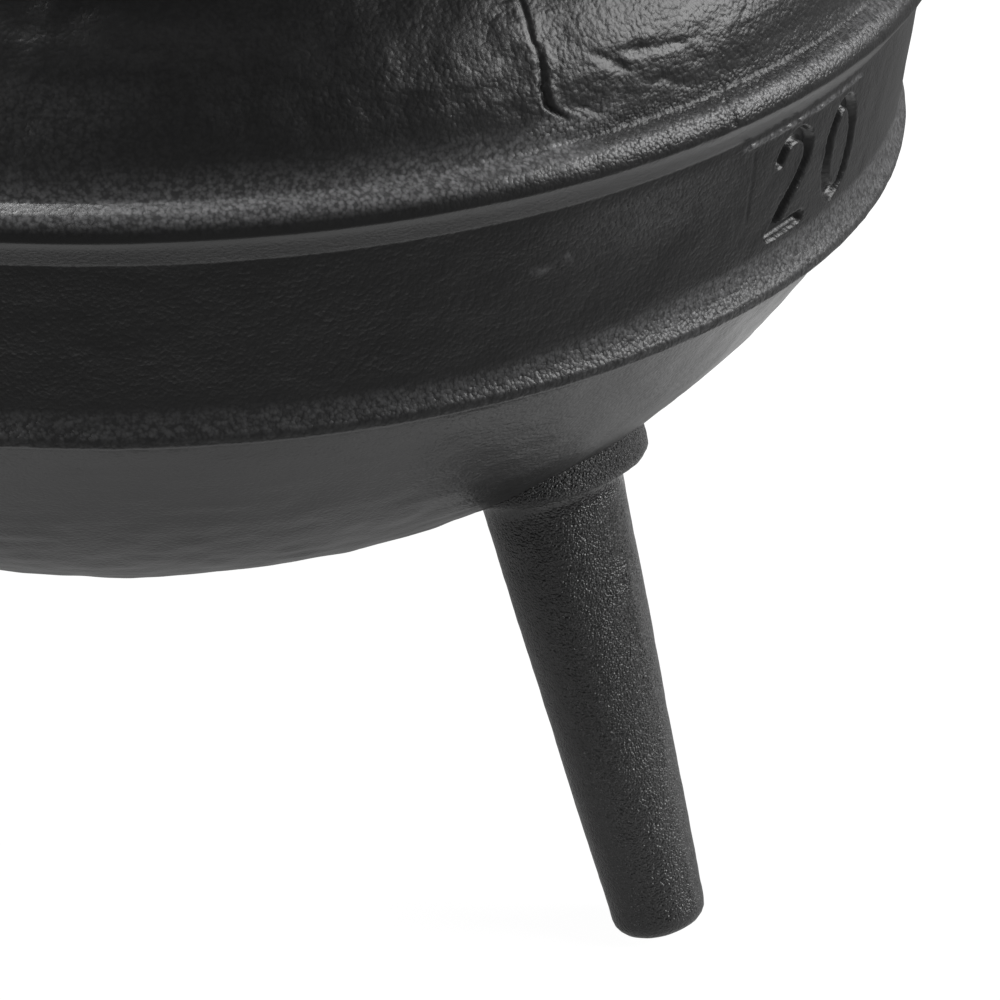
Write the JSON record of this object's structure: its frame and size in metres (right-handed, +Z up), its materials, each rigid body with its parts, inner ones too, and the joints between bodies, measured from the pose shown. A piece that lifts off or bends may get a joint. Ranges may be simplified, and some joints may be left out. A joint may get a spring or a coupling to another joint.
{
  "type": "three-legged cooking pot",
  "caption": "Round-bellied cast iron cooking pot on three splayed legs, with raised ridges, two ears, a swinging wire bail and a domed lid with a bar handle.",
  "frame": {"origin": "on the ground, under the middle of the pot", "axes": "+Z up along the pot's axis; +X through the right ear; +Y to the rear, where the third leg stands"},
  "size_m": [0.2062, 0.194, 0.202],
  "materials": {
    "pot_iron": "black seasoned sand casting, satin",
    "lid_iron": "black seasoned sand casting, satin",
    "bail_steel": "blackened steel rod"
  },
  "bodies": {
    "pot": {"bowl": "pot_iron", "leg_rear": "pot_iron", "leg_front_left": "pot_iron", "leg_front_right": "pot_iron", "ear_right": "pot_iron", "ear_left": "pot_iron"},
    "bail": {"bail": "bail_steel"},
    "lid": {"lid": "lid_iron", "lid_handle": "lid_iron"}
  },
  "joints": [
    {"name": "bail_swing", "type": "hinge", "parent": "pot", "child": "bail", "pos_m": [0, 0, 0.155], "axis": [1, 0, 0], "range_deg": [0, 203]},
    {"name": "lid_lift", "type": "slide", "parent": "pot", "child": "lid", "axis": [0, 0, 1], "range_m": [0, 0.105]}
  ]
}
